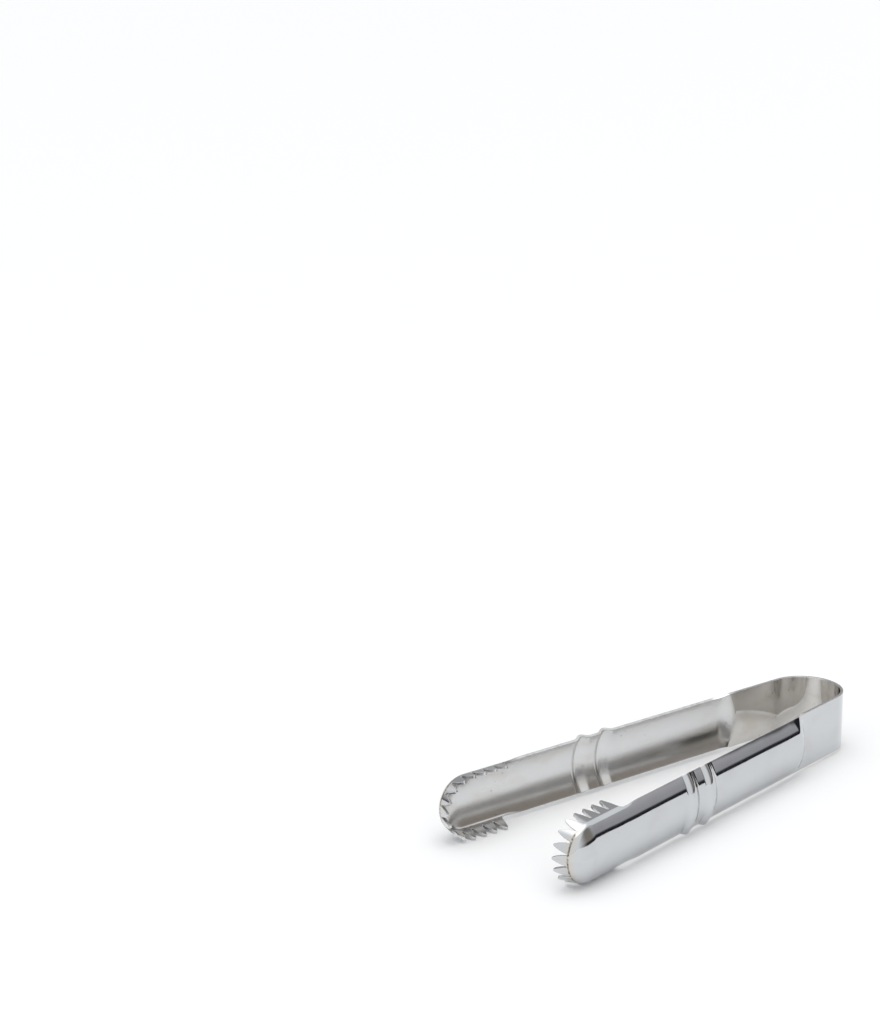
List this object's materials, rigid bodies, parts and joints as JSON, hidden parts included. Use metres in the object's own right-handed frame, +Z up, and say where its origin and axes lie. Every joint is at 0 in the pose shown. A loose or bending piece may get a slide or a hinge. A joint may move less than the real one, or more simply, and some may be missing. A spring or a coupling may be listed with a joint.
{
  "type": "ice tongs",
  "caption": "Springy U-shaped ice tongs pressed from one polished steel strip, with two channel-shaped arms, collar ribs and spoon-shaped jaws rimmed with claws.",
  "frame": {"origin": "bottom centre of the bounding box of the tongs lying on their edges, relaxed open", "axes": "+X from the bow to the jaws, along the tongs' centre line; +Y towards the left arm; +Z up, across the strip's width"},
  "size_m": [0.158, 0.0594, 0.0212],
  "materials": {
    "polished_band": "mirror-polished stainless steel, flat spring band, a little softer on its inner face",
    "polished_channel": "mirror-polished stainless steel outside, satin with faint stains inside, bright sheared edges"
  },
  "bodies": {
    "crown": {"bow_crown": "polished_band"},
    "shoulder_left": {"bow_shoulder_left": "polished_band"},
    "shoulder_right": {"bow_shoulder_right": "polished_band"},
    "leg_left": {"arm_left": "polished_channel", "jaw_left": "polished_channel"},
    "leg_right": {"arm_right": "polished_channel", "jaw_right": "polished_channel"}
  },
  "joints": [
    {"name": "bow_flex_left", "type": "hinge", "parent": "crown", "child": "shoulder_left", "pos_m": [-0.07537, 0.00826, 0.01061], "axis": [0, 0, -1], "range_deg": [0, 4.17], "stiffness_Nm_per_rad": 15},
    {"name": "leg_flex_left", "type": "hinge", "parent": "shoulder_left", "child": "leg_left", "pos_m": [-0.05699, 0.01335, 0.01061], "axis": [0, 0, -1], "range_deg": [0, 4.17], "stiffness_Nm_per_rad": 15},
    {"name": "bow_flex_right", "type": "hinge", "parent": "crown", "child": "shoulder_right", "pos_m": [-0.07537, -0.00826, 0.01061], "axis": [0, 0, 1], "range_deg": [0, 4.17], "stiffness_Nm_per_rad": 15},
    {"name": "leg_flex_right", "type": "hinge", "parent": "shoulder_right", "child": "leg_right", "pos_m": [-0.05699, -0.01335, 0.01061], "axis": [0, 0, 1], "range_deg": [0, 4.17], "stiffness_Nm_per_rad": 15}
  ],
  "couplings": [
    {"joint": "leg_flex_left", "follows": "bow_flex_left", "ratio": 1},
    {"joint": "bow_flex_right", "follows": "bow_flex_left", "ratio": 1},
    {"joint": "leg_flex_right", "follows": "bow_flex_left", "ratio": 1}
  ]
}
